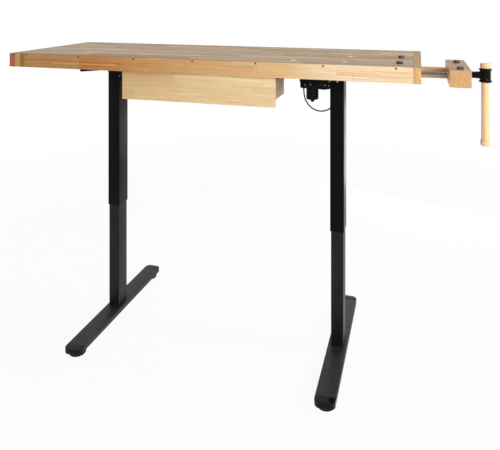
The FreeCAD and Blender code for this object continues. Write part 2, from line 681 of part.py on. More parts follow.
# from the gland under the right gear housing, round behind the column and up
# to the control box: (x, y, depth below the worktop's surface)
CABLE_ROUTE = [
    (341, 280, 131), (341, 280, 150), (347, 285, 178), (364, 293, 204), (390, 307, 220), (417, 328, 222),
    (440, 350, 210), (455, 366, 187), (461, 373, 158), (457, 376, 129), (444, 381, 103), (423, 389, 82),
    (396, 398, 66), (367, 407, 54), (337, 414, 46), (306, 420, 41), (282, 423, 37), (260, 423, 37),
]


def tube_along(points, radius):
    """Straight runs joined by tangent arcs, each as large as its two runs allow."""
    radii = []
    edges = []
    start = points[0]
    for before, corner, after in zip(points, points[1:], points[2:]):
        back, on = before - corner, after - corner
        turn = math.pi - back.getAngle(on)
        reach = 0.45 * min(back.Length, on.Length)
        bend = reach / math.tan(turn / 2)
        radii.append(bend)
        back.normalize()
        on.normalize()
        begin, end = corner + back * reach, corner + on * reach
        inward = (back + on).normalize()
        top = corner + inward * (bend / math.cos(turn / 2) - bend)
        edges.append(Part.LineSegment(start, begin).toShape())
        edges.append(Part.Arc(begin, top, end).toShape())
        start = end
    edges.append(Part.LineSegment(start, points[-1]).toShape())
    spine = Part.Wire(edges)
    first = (points[1] - points[0]).normalize()
    section = Part.Wire(Part.Circle(points[0], first, radius).toShape())
    tube = spine.makePipeShell([section], True, False)
    share = tube.Volume / (math.pi * radius ** 2 * spine.Length)
    print("cable length %.1f, volume share %.4f, least radius %.1f" % (spine.Length, share, min(radii)))
    assert abs(share - 1) < 0.01
    return tube


def cable():
    case = box("control_case", "case_x", "case_y", depth("core_thick + case_height"), "case_length",
               "case_width", "case_height")
    node(soften("control_case_eased", case, 3.0 * size("ease"), Z, "Part::Fillet"), "control_box")

    x, y, d = CABLE_ROUTE[0]
    radius, long = size("cable_dia") / 2, size("gland_length")
    collar, sleeve = radius + 1.8, radius + 1.2
    gland = turned("gland_turned", str(x), str(y), depth(d - long), [
        (0, 0), (collar, 0), (collar, -0.3 * long), (sleeve, 0.4 - long), (sleeve - 0.4, -long), (0, -long)])
    node(gland, "cable_gland")

    points = [FreeCAD.Vector(x - size("origin_x"), y - size("origin_y"), size("top_height") - d)
              for x, y, d in CABLE_ROUTE]
    start = points[0]
    run = doc.addObject("Part::Feature", "cable_run")
    run.Shape = tube_along([p - start for p in points], radius)
    run.Placement = FreeCAD.Placement(start, FreeCAD.Rotation())
    node(run, "motor_cable")


worktop()
for row in ("front", "rear"):
    dog(f"bench_dog_{row}", "top_length / 2 - dog_end", row + "_row", "top_height", 1)
    dog(f"jaw_dog_{row}", "top_length / 2 + jaw_gap + jaw_width / 2", row + "_row", depth("jaw_top"), -1)
frame()
frame_fixings()
glides()
base("left", -1)
base("right", 1)
drawer()
jaw()
screw()
keeper()
hub()
handle()
cable()
doc.recompute()

broken = [item.Name for item in doc.Objects if {"Invalid", "Error"} & set(item.State)]
assert not broken, broken
for item in nodes:
    assert not item.Shape.isNull() and item.Shape.isValid(), item.Label

os.makedirs("parts", exist_ok=True)
whole = FreeCAD.BoundBox()
for item in nodes:
    item.Shape.exportStep(f"parts/{item.Label}.step")
    if item.Label != "motor_cable":
        whole.add(item.Shape.BoundBox)
print(len(nodes), "sub-parts, box", [round(v, 2) for v in (
    whole.XMin, whole.XMax, whole.YMin, whole.YMax, whole.ZMin, whole.ZMax)])
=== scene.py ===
import math

import bmesh
import bpy
import numpy as np
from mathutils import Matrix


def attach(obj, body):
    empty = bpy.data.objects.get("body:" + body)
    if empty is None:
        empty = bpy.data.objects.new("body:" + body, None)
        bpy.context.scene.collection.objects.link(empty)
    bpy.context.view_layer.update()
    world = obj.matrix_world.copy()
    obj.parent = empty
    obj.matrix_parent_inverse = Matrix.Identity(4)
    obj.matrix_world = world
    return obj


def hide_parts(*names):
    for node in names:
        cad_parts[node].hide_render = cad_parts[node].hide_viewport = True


# The looks of a woodworking bench on a lifting frame. Pieces are worked out in metres in the
# frame's own axes: X along the bench to the vise, Y to the back, Z up from the floor.

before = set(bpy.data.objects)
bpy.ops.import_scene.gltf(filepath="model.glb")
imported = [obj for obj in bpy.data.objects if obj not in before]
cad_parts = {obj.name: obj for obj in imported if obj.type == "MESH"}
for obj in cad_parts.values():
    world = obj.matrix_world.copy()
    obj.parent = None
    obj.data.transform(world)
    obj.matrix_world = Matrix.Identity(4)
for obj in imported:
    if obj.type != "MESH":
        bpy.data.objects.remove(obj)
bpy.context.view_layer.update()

MM = 0.001
# the middle of the worktop's front edge and its height, which places on the bench are given from
BENCH_X, BENCH_Y, BENCH_TOP = 112.25, 298.0, 1118.0
# how far the jaw's top lies below the worktop
JAW_DROP = 10.5


def x_at(x):
    """A distance to the right of the worktop's middle, in millimetres, as a place in the frame."""
    return (x - BENCH_X) * MM


def y_at(y):
    """A distance behind the worktop's front edge, in millimetres, as a place in the frame."""
    return (y - BENCH_Y) * MM


def z_at(d):
    """A depth below the worktop, in millimetres, as a height in the frame."""
    return (BENCH_TOP - d) * MM


def at(x, y, d):
    """The point in the frame for a place on the bench and a depth below its top."""
    return np.array([x_at(x), y_at(y), z_at(d)])


# ------------------------------------------------------------------ forms

def grid(points, wrap_rows=False, wrap_columns=True, lids=(False, False)):
    """The surface over a grid of points (rows, columns, 3): a four-sided face joins each point with
    its neighbours, and a lid closes the first or the last row."""
    rows, columns = points.shape[:2]
    row = np.arange(rows if wrap_rows else rows - 1)[:, None]
    column = np.arange(columns if wrap_columns else columns - 1)[None, :]
    up, on = (row + 1) % rows, (column + 1) % columns
    cells = (row * columns + column, row * columns + on, up * columns + on, up * columns + column)
    faces = np.stack(np.broadcast_arrays(*cells), -1).reshape(-1, 4).tolist()
    if lids[0]:
        faces.append(list(range(columns)))
    if lids[1]:
        faces.append(list(range((rows - 1) * columns, rows * columns)))
    return points.reshape(-1, 3), faces


def ease(corners, closed=False, steps=5):
    """A line through corners (x, y, radius), where a corner with a radius becomes an arc: its points are
    centre + (sin((1 - t) turn) start + sin(t turn) end) / sin(turn), for t from 0 to 1."""
    done = []
    for i, (x, y, *rest) in enumerate(corners):
        here = np.array([x, y], float)
        if not rest or not closed and i in (0, len(corners) - 1):
            done.append(here[None])
            continue
        back = np.array(corners[i - 1][:2]) - here
        on = np.array(corners[(i + 1) % len(corners)][:2]) - here
        back, on = back / np.linalg.norm(back), on / np.linalg.norm(on)
        half = math.acos(np.clip(back @ on, -1, 1)) / 2
        reach, turn = rest[0] / math.tan(half), math.pi - 2 * half
        centre = here + (back + on) / np.linalg.norm(back + on) * rest[0] / math.sin(half)
        start, end = here + back * reach - centre, here + on * reach - centre
        t = np.linspace(0, 1, steps + 1)[:, None]
        done.append(centre + (np.sin((1 - t) * turn) * start + np.sin(t * turn) * end) / math.sin(turn))
    return np.concatenate(done)


def arc_through(start, middle, end, steps):
    """Points on the circle through three points: the centre c solves 2 (p - start) . c = |p|^2 - |start|^2
    for the other two."""
    a, b, c = (np.array(p, float) for p in (start, middle, end))
    centre = np.linalg.solve(2 * np.array([b - a, c - a]), [b @ b - a @ a, c @ c - a @ a])
    angles = np.unwrap([math.atan2(*(p - centre)[::-1]) for p in (a, b, c)])
    t = np.linspace(angles[0], angles[2], steps + 1)
    return centre + math.dist(a, centre) * np.stack([np.cos(t), np.sin(t)], 1)


def square_to(axis):
    """Two unit vectors at right angles to an axis and to each other, and the axis's own unit vector."""
    axis = np.array(axis, float) / np.linalg.norm(axis)
    side = np.cross(axis, (0.0, 0.0, 1.0) if abs(axis[2]) < 0.9 else (1.0, 0.0, 0.0))
    side /= np.linalg.norm(side)
    return side, np.cross(axis, side), axis


def lathe(profile, centre, axis=(0, 0, 1), steps=64, shape=None, **how):
    """A turned form: centre + r (cos a side + sin a other) + h axis, for each (r, h) of the profile and
    each angle a. A shape changes r and h with the angle."""
    side, other, axis = square_to(axis)
    a = np.arange(steps) * 2 * math.pi / steps
    r, h = (np.repeat(np.array(profile)[:, k:k + 1], steps, 1) for k in (0, 1))
    if shape:
        r, h = shape(r, h, a[None, :])
    around = np.cos(a)[:, None] * side + np.sin(a)[:, None] * other
    return grid(np.array(centre) + r[..., None] * around[None] + h[..., None] * axis, **how)


def inwards(outline):
    """For each point of a closed outline the step that moves it one unit inwards: the sum of its two
    edges' normals over one plus their product."""
    edge = np.roll(outline, -1, 0) - outline
    edge /= np.linalg.norm(edge, axis=1)[:, None]
    x, y = outline.T
    turn = np.sign((x * np.roll(y, -1) - y * np.roll(x, -1)).sum())
    normal = turn * np.stack([-edge[:, 1], edge[:, 0]], 1)
    before = np.roll(normal, 1, 0)
    return (normal + before) / (1 + (normal * before).sum(1))[:, None]


PLANES = {"x": (1, 2, 0), "y": (0, 2, 1), "z": (0, 1, 2)}


def slab(outline, stations, way="z", wrap=False, pull=1.0):
    """A form with one outline along an axis: at each station (inset, height) a ring of the outline moved
    inwards by the inset times pull. Wrapped, the last ring joins the first, as on a tube with a wall."""
    stations = np.array(stations)
    flat = outline[None] + stations[:, 0, None, None] * (inwards(outline) * pull)[None]
    points = np.empty(flat.shape[:2] + (3,))
    u, v, w = PLANES[way]
    points[..., u], points[..., v] = flat[..., 0], flat[..., 1]
    points[..., w] = stations[:, 1, None]
    return grid(points, wrap_rows=wrap, lids=(not wrap, not wrap))


def changing(stations, section, way):
    """A form whose outline changes along an axis: at each station (place, *values) the ring is
    section(*values), always with the same number of points."""
    rings = np.array([section(*values) for place, *values in stations])
    points = np.empty(rings.shape[:2] + (3,))
    u, v, w = PLANES[way]
    points[..., u], points[..., v] = rings[..., 0], rings[..., 1]
    points[..., w] = np.array([place for place, *values in stations])[:, None]
    return grid(points, lids=(True, True))


def rims(low, high, edge, seams=(), steps=4):
    """Stations from low to high with a quarter round at each end, inset = edge (1 - sin u) at
    edge (1 - cos u) from the end, and a narrow groove at each seam (height, depth, width)."""
    u = np.linspace(0, math.pi / 2, steps + 1)
    inset, rise = edge * (1 - np.sin(u)), edge * (1 - np.cos(u))
    grooves = [(inset_at, height + shift * width / 2) for height, depth, width in seams
               for inset_at, shift in ((0, -1), (depth, -0.4), (depth, 0.4), (0, 1))]
    return [*zip(inset, low + rise), *grooves, *zip(inset[::-1], high - rise[::-1])]


def rounded(u0, u1, v0, v1, radius, steps=5):
    """A rectangle's outline with round corners."""
    return ease([(u0, v0, radius), (u1, v0, radius), (u1, v1, radius), (u0, v1, radius)], True, steps)


def thread(centre, axis, length, radius, depth, pitch, lead, steps=48, per_turn=10):
    """A screw thread: the radius falls by depth times a wave of (s - lead a / (2 pi)) / pitch, where s runs
    along the axis; the wave is a clipped triangle, which gives flat crests and roots."""
    side, other, axis = square_to(axis)
    steepness, crest = 2.6, 0.15
    a = np.arange(steps) * 2 * math.pi / steps
    s = np.linspace(0, length, int(length / pitch * per_turn) + 1)
    phase = ((s[:, None] - lead * a[None, :] / (2 * math.pi)) / pitch) % 1
    wave = np.clip(steepness * np.abs(phase - 0.5) - crest, 0, 1)
    fade = np.clip(np.minimum(s, length - s) / pitch, 0, 1)[:, None]
    r = radius - depth * wave * fade
    around = np.cos(a)[:, None] * side + np.sin(a)[:, None] * other
    points = np.array(centre) + r[..., None] * around[None] + s[:, None, None] * axis
    return grid(points, lids=(True, True))


def smooth_step(x, low, high):
    """0 below low, 1 above high and t^2 (3 - 2 t) between."""
    t = np.clip((x - low) / (high - low), 0, 1)
    return t * t * (3 - 2 * t)


def cross_screw(centre, axis, radius, tall):
    """A pan head with a cross recess: the dome tall (1 - (r / radius)^3) less a recess where the point lies
    within either arm of the cross."""
    arm, reach, recess, rings = 0.16 * radius, 0.62 * radius, 0.55 * tall, 18

    def slot(aside, out):
        """1 within one arm of the cross."""
        return ((1 - smooth_step(aside, 0.7 * arm, 1.2 * arm))
                * (1 - smooth_step(out, 0.8 * reach, reach)))

    def shape(r, h, a):
        x, y = np.abs(r * np.cos(a)), np.abs(r * np.sin(a))
        return r, h - recess * np.maximum(slot(x, y), slot(y, x)) * (h > 0)

    share = np.linspace(1, 0, rings)
    r = np.concatenate([[radius], radius * share])
    h = np.concatenate([[0], tall * (1 - share ** 3) + 1e-5])
    return lathe(np.stack([r, h], 1), centre, axis, 48, shape, lids=(True, False))


def hex_bolt(centre, axis, across, tall):
    """A hexagon head on a round washer face: the radius is apothem / cos(b), b the angle from the middle of
    the flat, cut back near the top by the chamfer's cone."""
    apothem, chamfer = across / 2, 0.8 * tall
    corner, slope = apothem * 1.155, 1.2

    def shape(r, h, a):
        b = (a % (math.pi / 3)) - math.pi / 6
        head = np.minimum(apothem / np.cos(b), corner - np.clip(h - chamfer, 0, None) * slope)
        return np.where((h > 0.12 * tall) & (r > 0.5 * apothem), head, r), h

    profile = [(apothem * 1.2, 0), (apothem * 1.2, 0.1 * tall), (apothem, 0.14 * tall), (apothem, chamfer),
               (apothem, 0.9 * tall), (apothem, tall), (0.4 * apothem, tall), (0, tall)]
    return lathe(profile, centre, axis, 48, shape, lids=(True, False))


def piece(name, surfaces, finish, body, replaces=(), crease=34):
    """One object of one or more closed surfaces, shaded smooth but for edges sharper than crease and for
    its lids, which are flat."""
    points, faces, start = [], [], 0
    for surface_points, surface_faces in surfaces:
        points.append(surface_points)
        faces += [[start + k for k in face] for face in surface_faces]
        start += len(surface_points)
    mesh = bpy.data.meshes.new(name)
    mesh.from_pydata(np.concatenate(points).tolist(), [], faces)
    work = bmesh.new()
    work.from_mesh(mesh)
    bmesh.ops.remove_doubles(work, verts=work.verts, dist=2e-6)
    bmesh.ops.dissolve_degenerate(work, edges=work.edges, dist=1e-7)
    bmesh.ops.recalc_face_normals(work, faces=work.faces)
    work.to_mesh(mesh)
    work.free()
    corners = np.empty(len(mesh.polygons), int)
    mesh.polygons.foreach_get("loop_total", corners)
    mesh.polygons.foreach_set("use_smooth", corners < 5)
    mesh.set_sharp_from_angle(angle=math.radians(crease))
    mesh.materials.append(finish)
    made = bpy.data.objects.new(name, mesh)
    bpy.context.scene.collection.objects.link(made)
    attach(made, body)
    if replaces:
        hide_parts(*replaces)
    return made


# --------------------------------------------------------------- finishes

def paint(red, green, blue):
    """A colour of 0 to 255 as a screen shows it, made linear: ((c / 255 + 0.055) / 1.055)^2.4, and the
    darkest c / 255 / 12.92."""
    return tuple(((c / 255 + 0.055) / 1.055) ** 2.4 if c > 10 else c / 255 / 12.92
                 for c in (red, green, blue)) + (1.0,)


class Term:
    """One output in a node tree. Arithmetic on it adds Math nodes."""

    def __init__(self, tree, socket):
        self.tree = tree
        self.socket = socket

    def maths(self, operation, *values):
        """A Math node on the values."""
        return self.tree.node("Math", {"operation": operation}, dict(enumerate(values)))

    def __add__(self, other):
        return self.maths("ADD", self, other)

    def __sub__(self, other):
        return self.maths("SUBTRACT", self, other)

    def __rsub__(self, other):
        return self.maths("SUBTRACT", other, self)

    def __mul__(self, other):
        return self.maths("MULTIPLY", self, other)

    def __truediv__(self, other):
        return self.maths("DIVIDE", self, other)

    def __pow__(self, other):
        return self.maths("POWER", self, other)

    def __abs__(self):
        return self.maths("ABSOLUTE", self)

    __radd__ = __add__
    __rmul__ = __mul__

    def floor(self):
        return self.maths("FLOOR", self)

    def rest(self):
        """What is left over the whole number below."""
        return self.maths("FRACT", self)

    def root(self):
        return self.maths("SQRT", self)

    def sine(self):
        return self.maths("SINE", self)

    def most(self, other):
        return self.maths("MAXIMUM", self, other)

    def between(self, low, high):
        """0 below low, 1 above high and smooth between."""
        return self.tree.node("MapRange", {"interpolation_type": "SMOOTHSTEP"},
                              {"Value": self, "From Min": low, "From Max": high})


class Tree:
    """A node tree in the making."""

    def __init__(self, tree):
        self.tree = tree

    def node(self, kind, settings=None, inputs=None, output=0):
        """A node of a kind, its settings made first and then its sockets given values or links. It hands
        back one output, or all that are in use where output is None."""
        made = self.tree.nodes.new("ShaderNode" + kind)
        for name, value in (settings or {}).items():
            if name == "stops":
                self.stops(made.color_ramp.elements, value)
            else:
                setattr(made, name, value)
        for name, value in (inputs or {}).items():
            self.feed(made.inputs[name], value)
        if output is None:
            return [Term(self, socket) for socket in made.outputs if socket.enabled]
        return Term(self, made.outputs[output])

    def stops(self, ramp, values):
        """Give a ramp its stops, each a position and a colour."""
        while len(ramp) < len(values):
            ramp.new(1.0)
        for stop, (position, colour) in zip(ramp, values):
            stop.position, stop.color = position, colour

    def feed(self, socket, value):
        """Link a term to a socket, or set a value on it."""
        if isinstance(value, Term):
            self.tree.links.new(value.socket, socket)
        else:
            socket.default_value = value

    def seen(self):
        """1 where a ray comes from the camera, from a mirror or through glass."""
        rays = [self.node("LightPath", output=name) for name in
                ("Is Camera Ray", "Is Glossy Ray", "Is Transmission Ray")]
        return rays[0].most(rays[1]).most(rays[2])


class Finish(Tree):
    """A material in the making. Its patterns read the object's own coordinates, in millimetres."""

    def __init__(self, name, **uniform):
        self.material = bpy.data.materials.new(name)
        self.material.use_nodes = True
        super().__init__(self.material.node_tree)
        self.shader = self.tree.nodes["Principled BSDF"]
        for socket, value in uniform.items():
            self.shader.inputs[socket.replace("_", " ")].default_value = value

    def split(self, term, kind="XYZ"):
        """The three parts of a vector or a colour."""
        return self.node("Separate" + kind, inputs={0: term}, output=None)

    def place(self):
        """The three coordinates of the point being shaded, in millimetres."""
        return [axis * 1000.0 for axis in self.split(self.node("TexCoord", output="Object"))]

    def point(self, x, y, z):
        return self.node("CombineXYZ", inputs={0: x, 1: y, 2: z})

    def lot(self, x, y, z):
        """Three random numbers for a cell."""
        cell = self.node("TexWhiteNoise", {"noise_dimensions": "3D"}, {"Vector": self.point(x, y, z)}, 1)
        return self.split(cell, "Color")

    def noise(self, x, y, z, detail=3.0, rough=0.5):
        return self.node("TexNoise", inputs={
            "Vector": self.point(x, y, z), "Scale": 1.0, "Detail": detail, "Roughness": rough})

    def mix(self, share, first, second, blend="MIX"):
        """The first colour with a share of the second blended in."""
        return self.node("Mix", {"data_type": "RGBA", "blend_type": blend},
                         {0: share, 6: first, 7: second}, 2)

    def bump(self, height, strength, distance):
        return self.node("Bump", inputs={"Height": height, "Strength": strength, "Distance": distance})

    def wear(self, **varying):
        """Feed what varies over the surface, and hand back the finished material."""
        for socket, value in varying.items():
            self.feed(self.shader.inputs[socket.replace("_", " ")], value)
        return self.material


# which coordinate runs along the grain, which across the rows and which through the board
GRAIN = {"x": (0, 1, 2), "y": (1, 0, 2), "z": (2, 0, 1), "face": (0, 2, 1)}
# half the width of a glue line between rows and at a stave's end, and how far from a dog hole's middle
# the pale of its lit wall is painted
ROW_GLUE, END_GLUE, HOLE_REACH = 0.55, 0.7, 10.0
# what darkens fibres and pores, what lightens the pale bands, and the painted light on a hole's wall
DARK_FIBRE, PALE_BAND, LIT_HOLE_WALL = (196, 160, 122), (255, 246, 226), (246, 232, 200)


def staves(coat, along, across, through, row, layer, stave, first):
    """Rows glued edge to edge, each of staves 0.8 to 1.25 times as long as stave, with a start of its own.
    Hands back where a point lies in its row and in its stave, from 0 to 1, and three random numbers for
    the stave."""
    rows, layers = (across - first) / row, through / layer
    row_no, layer_no = rows.floor(), layers.floor()
    start, long = coat.lot(row_no, layer_no, 3.7)[:2]
    runs = along / (stave * (0.8 + 0.45 * long)) + 9.0 * start
    return rows.rest(), runs.rest(), coat.lot(row_no, layer_no, runs.floor())


def growth_rings(coat, along, across, through, lots, pith, year):
    """Rings round a heart of the stave's own, or round the pith (across, through): (0.5 + 0.5 sin w)^3,
    where w is 2 pi r / year and r is the distance from the heart, which sways along the grain."""
    tone, hue, heart = lots
    if pith:
        side, up = across - pith[0], through - pith[1]
    else:
        side, up = across + (hue - 0.5) * 260.0, through + 26.0 + 90.0 * heart
    sway = coat.noise(along * 0.0042, across * 0.018, through * 0.018, 2.0)
    radius = (side * side + up * up).root() + 26.0 * sway + along * (0.05 * (tone - 0.5))
    return (0.5 + 0.5 * (radius * (2 * math.pi / year)).sine()) ** 3.0


def tinted(coat, colour, along, shade):
    """A colour times a tint that changes along the grain, from stops (place, colour)."""
    first_at, length = shade[0][0], shade[-1][0] - shade[0][0]
    stops = [((place_at - first_at) / length, paint(*tint)) for place_at, tint in shade]
    tints = coat.node("ValToRGB", {"stops": stops}, {"Fac": (along - first_at) / length})
    return coat.mix(1.0, colour, tints, "MULTIPLY")


def wood(name, pale, deep, warm, grain="x", row=42.0, layer=1000.0, stave=380.0, first=0.0, gloss=0.42,
         figure=1.0, fine=0.42, rings=0.55, year=6.4, joint=0.5, pith=None, shade=(), streaks=(),
         top_light=None, bored=()):
    """Edge-glued, end-jointed staves. Each stave has its own tone and its own growth rings, with fibres and
    pores drawn out along the grain. Joint is how dark the glue lines are, and a pith gives all staves one
    heart. A shade tints the wood from place to place along the grain, and a streak (middle, half its
    width, start, end, colour) is a band of heartwood. Top light is a top face's height and the grey tint
    painted on it for the cool light that falls there, and bored holes have walls painted pale as if lit."""
    coat = Finish(name, Specular_IOR_Level=0.14)
    place = coat.place()
    along, across, through = (place[k] for k in GRAIN[grain])
    in_row, in_stave, lots = staves(coat, along, across, through, row, layer, stave, first)
    ring = growth_rings(coat, along, across, through, lots, pith, year)

    # every stave takes its fibres, bands and pores from another stretch of the patterns
    tone, hue = lots[:2]
    shift = 211.0 * tone
    fibre = coat.noise(along * 0.011 + shift, across * fine, through * fine, 4.0, 0.62)
    band = coat.noise(along * 0.0021 + shift, across * 0.065, through * 0.065, 2.0)
    pore = coat.noise(along * 0.13 + shift, across * 2.3, through * 2.3, 1.0).between(0.60, 0.74)

    # the stave's tone, then the shade and the streaks
    colour = coat.mix(tone * 0.85, paint(*pale), paint(*deep))
    colour = coat.mix(hue.between(0.45, 1.0) * 0.65, colour, paint(*warm))
    if shade:
        colour = tinted(coat, colour, along, shade)
    for middle, half, start, end, tint in streaks:
        edge = abs(across + 5.0 * (band - 0.5) - middle).between(0.4 * half, half)
        length = along.between(start, start + 30) * (1 - along.between(end - 30, end))
        colour = coat.mix((1 - edge) * length * (0.45 + 0.5 * fibre), colour, paint(*tint))

    # the figure: late wood and fibres, pale bands, pores and glue lines
    dark = coat.mix(1.0, colour, paint(*DARK_FIBRE), "MULTIPLY")
    light = coat.mix(1.0, colour, paint(*PALE_BAND), "SOFT_LIGHT")
    late = rings * ring * band.between(0.3, 0.7) + 0.75 * fibre.between(0.5, 0.85)
    colour = coat.mix(figure * late, colour, dark)
    colour = coat.mix(figure * 0.8 * band.between(0.5, 0.8), colour, light)
    colour = coat.mix(0.42 * pore, colour, dark)
    glue = abs(in_row - 0.5).between(0.5 - ROW_GLUE / row, 0.5).most(
        abs(in_stave - 0.5).between(0.5 - END_GLUE / stave, 0.5))
    colour = coat.mix(joint * glue, colour, paint(*(0.5 * c for c in deep)))

    # painted light: the top face greyed for the cool light that falls on it
    if top_light:
        level, grey = top_light
        top_lit_grey = coat.mix(1.0, colour, paint(*grey), "MULTIPLY")
        colour = coat.mix(place[2].between(level - 1.2, level - 0.4), colour, top_lit_grey)
    # painted light: the walls of the dog holes made pale, as where their far side is lit
    for x, y in bored:
        near = ((place[0] - x) * (place[0] - x) + (place[1] - y) * (place[1] - y)).root()
        colour = coat.mix(1 - near.between(HOLE_REACH - 0.2, HOLE_REACH + 0.2), colour, paint(*LIT_HOLE_WALL))
    height = 0.5 * fibre - 0.6 * pore - 0.8 * glue
    return coat.wear(Base_Color=colour, Roughness=gloss + 0.2 * (fibre - 0.5) + 0.15 * pore,
                     Normal=coat.bump(height, strength=0.35, distance=0.25 * MM))


def powder_coat(name, tone, gloss, peel=0.3, pitch=0.75, specular=0.32):
    """Stoved powder paint: an orange-peel skin with a faint cloud of handling marks."""
    coat = Finish(name, Specular_IOR_Level=specular)
    x, y, z = coat.place()
    skin = coat.noise(x * pitch, y * pitch, z * pitch, 2.0, 0.45)
    cloud = coat.noise(x * 0.011, y * 0.011, z * 0.011, 4.0, 0.6)
    speck = coat.noise(x * 1.7, y * 1.7, z * 1.7, 0.0).between(0.74, 0.80)
    lifted = tuple(1.3 * c + 5 for c in tone)
    colour = coat.mix(cloud.between(0.35, 0.75), paint(*tone), paint(*lifted))
    colour = coat.mix(0.25 * speck, colour, paint(120, 118, 112))
    return coat.wear(Base_Color=colour, Roughness=gloss + 0.18 * (cloud - 0.5) + 0.08 * (skin - 0.5),
                     Normal=coat.bump(skin, strength=peel, distance=0.12 * MM))


def moulded(name, tone, gloss, pitch=2.2, depth=0.3, specular=0.4):
    """Moulded plastic with a fine spark-eroded grain."""
    coat = Finish(name, Specular_IOR_Level=specular)
    x, y, z = coat.place()
    grain = coat.noise(x * pitch, y * pitch, z * pitch, 3.0, 0.6)
    cloud = coat.noise(x * 0.03, y * 0.03, z * 0.03, 3.0)
    colour = coat.mix(cloud.between(0.3, 0.8), paint(*tone), paint(*(c * 1.25 + 3 for c in tone)))
    return coat.wear(Base_Color=colour, Roughness=gloss + 0.2 * (grain - 0.5) + 0.1 * (cloud - 0.5),
                     Normal=coat.bump(grain, strength=depth, distance=0.08 * MM))


def steel(name, tone, gloss, axis=0):
    """Machined steel: fine rings of tool marks across one axis, darker where oil has settled."""
    coat = Finish(name, Metallic=1.0)
    place = coat.place()
    along, one, two = (place[k] for k in (axis, (axis + 1) % 3, (axis + 2) % 3))
    marks = coat.noise(along * 5.5, one * 0.12, two * 0.12, 3.0, 0.6)
    film = coat.noise(along * 0.05, one * 0.16, two * 0.16, 4.0, 0.6).between(0.45, 0.75)
    oil = 0.3
    colour = coat.mix(oil * film, paint(*tone), paint(*(0.55 * c for c in tone)))
    return coat.wear(Base_Color=colour, Roughness=gloss + 0.25 * (marks - 0.5) + 0.1 * film,
                     Normal=coat.bump(marks, strength=0.2, distance=0.06 * MM))


# the top faces are painted greyer for the cool light that falls on them, and the rails are darker and redder
# towards the left
TOP_LIGHT, JAW_TOP_LIGHT = (BENCH_TOP, (196, 200, 206)), (BENCH_TOP - JAW_DROP, (204, 212, 220))
# along the rails the staves' own colours change at their joints, and over them painted shade falls off to
# the left and painted light makes the right end paler
RAIL_SHADE = [(-860, (213, 193, 160)), (-836, (213, 193, 160)), (-833, (170, 140, 102)),
              (-816, (170, 140, 102)), (-812, (197, 172, 136)), (-572, (197, 172, 136)),
              (-569, (201, 153, 113)), (-470, (201, 159, 120)), (-356, (209, 178, 141)),
              (-120, (224, 204, 175)), (230, (238, 225, 199)), (360, (255, 255, 255))]
RAIL_STREAKS = [(1097, 6, -815, -575, (186, 112, 78)), (1093, 1.6, -590, -380, (128, 66, 36)),
                (1083, 3, -575, -420, (186, 104, 60)), (1106, 4, -200, 20, (216, 160, 104))]
DOG_HOLES = [(590.75, -218), (412.75, -218), (234.75, -218), (590.75, -43), (412.75, -43), (234.75, 182)]

TOP_WOOD = wood("top wood", (216, 197, 172), (172, 151, 128), (180, 150, 126), row=44.0, first=27.0,
                stave=430.0, gloss=0.62, figure=1.2, shade=[(-780, (255, 255, 255)), (780, (232, 228, 216))],
                bored=DOG_HOLES)
RAIL_WOOD = wood("rail wood", (246, 222, 186), (237, 202, 159), (232, 190, 142), grain="face", row=17.4,
                 first=1066.0, stave=300.0, layer=25.0, shade=RAIL_SHADE, streaks=RAIL_STREAKS, top_light=TOP_LIGHT)
CAP_TONES = (228, 184, 130), (208, 160, 108), (202, 142, 94)
CAP_CUT = {"grain": "y", "row": 80.0, "layer": 80.0, "stave": 900.0, "rings": 0.6, "year": 12.0,
           "top_light": TOP_LIGHT}
CAP_WOOD = wood("end cap wood", *CAP_TONES, **CAP_CUT)
LEFT_CAP_WOOD = wood("left end cap wood", *CAP_TONES, **CAP_CUT, shade=[
    (-299, (196, 158, 150)), (-297, (196, 158, 150)), (-290, (255, 255, 255))])
# the drawer front's shade is painted: darker towards the left, away from the light at the right
DRAWER_WOOD = wood("drawer wood", (242, 218, 174), (228, 196, 148), (226, 190, 142), grain="face", row=35.0,
                   first=959.0, stave=320.0, figure=0.75, fine=0.14, rings=0.3, joint=0.3,
                   shade=[(-410, (234, 226, 214)), (-100, (248, 244, 238)), (200, (255, 255, 255))])
# the drawer's sides, back, bottom and runners are the pale wood painted darker for the shade under the
# worktop
SHADED_SIDE_WOOD = wood("drawer side wood", (158, 134, 110), (138, 114, 92), (144, 114, 88), grain="y", row=40.0,
                 stave=260.0)
JAW_WOOD = wood("jaw wood", (222, 182, 134), (204, 160, 112), (204, 154, 106), grain="y", row=68.0,
                layer=400.0, stave=900.0, first=5.0, rings=0.8, year=8.0, pith=(876.0, 1032.0),
                top_light=JAW_TOP_LIGHT)
BEAM_WOOD = wood("beam wood", (224, 188, 148), (202, 160, 120), (206, 156, 116), row=60.0, layer=60.0,
                 stave=900.0)
HANDLE_WOOD = wood("handle wood", (238, 208, 162), (224, 186, 138), (218, 172, 122), grain="z", row=400.0,
                   layer=400.0, stave=2000.0, gloss=0.36, figure=0.6)
PLUG_WOOD = wood("plug wood", (122, 78, 42), (92, 56, 30), (104, 58, 32), grain="y", row=400.0, stave=900.0)
FRAME_BLACK = powder_coat("frame black", (3, 3, 4), 0.32, specular=0.07)
